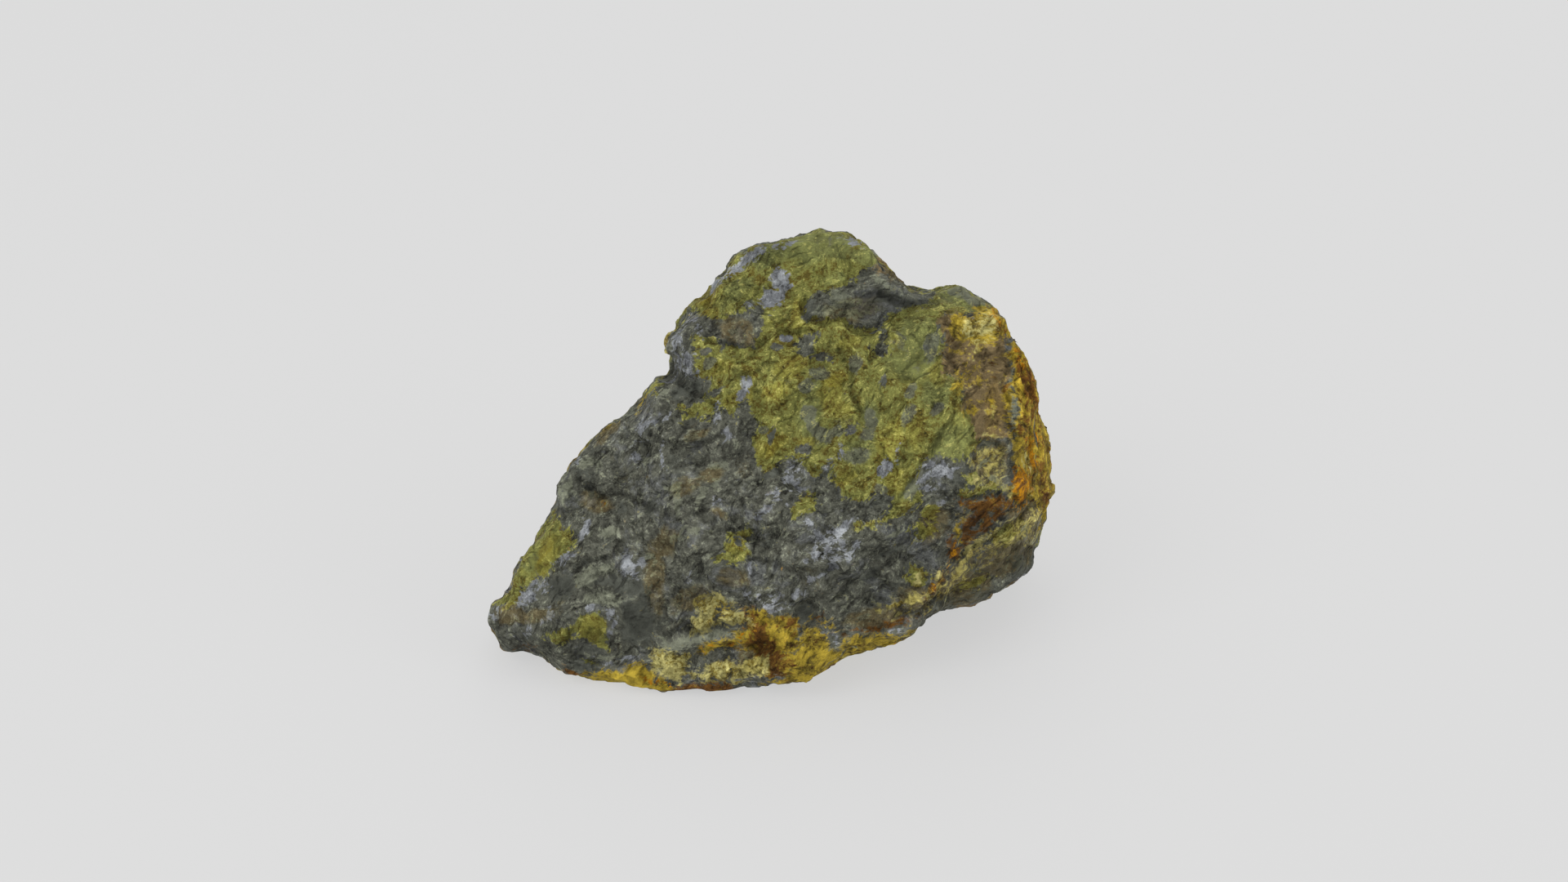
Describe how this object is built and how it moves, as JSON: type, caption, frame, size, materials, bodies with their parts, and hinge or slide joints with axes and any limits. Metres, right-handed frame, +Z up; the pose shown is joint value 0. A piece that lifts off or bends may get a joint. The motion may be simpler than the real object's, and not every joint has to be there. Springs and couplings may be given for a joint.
{
  "type": "chalcopyrite ore specimen",
  "caption": "Hand-sized lump of massive chalcopyrite ore in grey gangue with galena grains and an orange-brown limonite crust, resting on its flat base",
  "frame": {"origin": "middle of the bounding box's underside, on the surface that the stone rests on", "axes": "+Z up out of the rest surface, +X to the right along the stone's length, +Y away from someone facing the broad front break"},
  "size_m": [0.104, 0.0664, 0.0719],
  "materials": {
    "ore": "rough broken ore: olive-gold chalcopyrite, grey gangue, blue-grey galena and orange-brown limonite"
  },
  "bodies": {
    "root": {"chalcopyrite_ore": "ore"}
  },
  "joints": []
}
